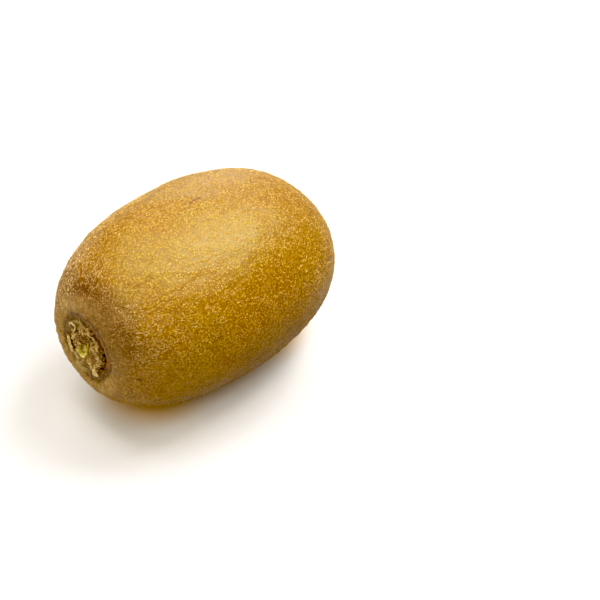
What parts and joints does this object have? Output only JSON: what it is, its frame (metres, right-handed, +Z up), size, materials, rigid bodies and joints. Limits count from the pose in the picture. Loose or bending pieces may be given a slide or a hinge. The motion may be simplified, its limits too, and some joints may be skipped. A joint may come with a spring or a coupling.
{
  "type": "golden kiwi fruit",
  "caption": "Whole golden kiwi fruit lying on its side, with a dished stem end that keeps its dry sepals and stalk stub, and dry styles at the blossom end.",
  "frame": {"origin": "on the surface that the fruit lies on, under the middle of its bounding box", "axes": "+X along the fruit from its stem end to its blossom end, +Z up, +Y completes the right-handed frame"},
  "size_m": [0.0748, 0.0522, 0.05],
  "materials": {
    "golden_skin": "thin golden-brown fruit skin, speckled with short pale hairs",
    "dry_sepal": "dry, papery and curled, matte",
    "stalk_scar": "fibrous brown wood with a yellow-green scar",
    "dry_style": "dry, dark and brittle"
  },
  "bodies": {
    "root": {"fruit": "golden_skin", "sepal_1": "dry_sepal", "sepal_2": "dry_sepal", "sepal_3": "dry_sepal", "sepal_4": "dry_sepal", "sepal_5": "dry_sepal", "stalk_stub": "stalk_scar", "style_tuft": "dry_style"}
  },
  "joints": []
}
